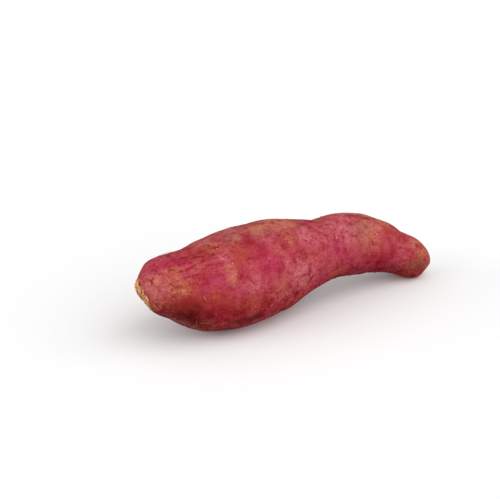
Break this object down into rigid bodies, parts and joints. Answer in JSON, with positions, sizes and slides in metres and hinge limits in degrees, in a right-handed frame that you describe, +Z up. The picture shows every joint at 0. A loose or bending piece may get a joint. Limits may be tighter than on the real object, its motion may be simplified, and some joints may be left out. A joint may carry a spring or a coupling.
{
  "type": "sweet potato",
  "caption": "Whole red-skinned sweet potato root, thick towards its corky stalk scar, with a curved neck and a rounded tail; lies on two small flats.",
  "frame": {"origin": "centre of the root's box in plan, at the height of the surface that it lies on", "axes": "+X along the root from the corky stalk scar to the thin tail, +Y to the side away from the picture's camera, +Z up"},
  "size_m": [0.1852, 0.0618, 0.0515],
  "materials": {
    "skin": "matt skin, magenta red mottled with tan and a greyish bloom"
  },
  "bodies": {
    "root": {"sweet_potato": "skin"}
  },
  "joints": []
}
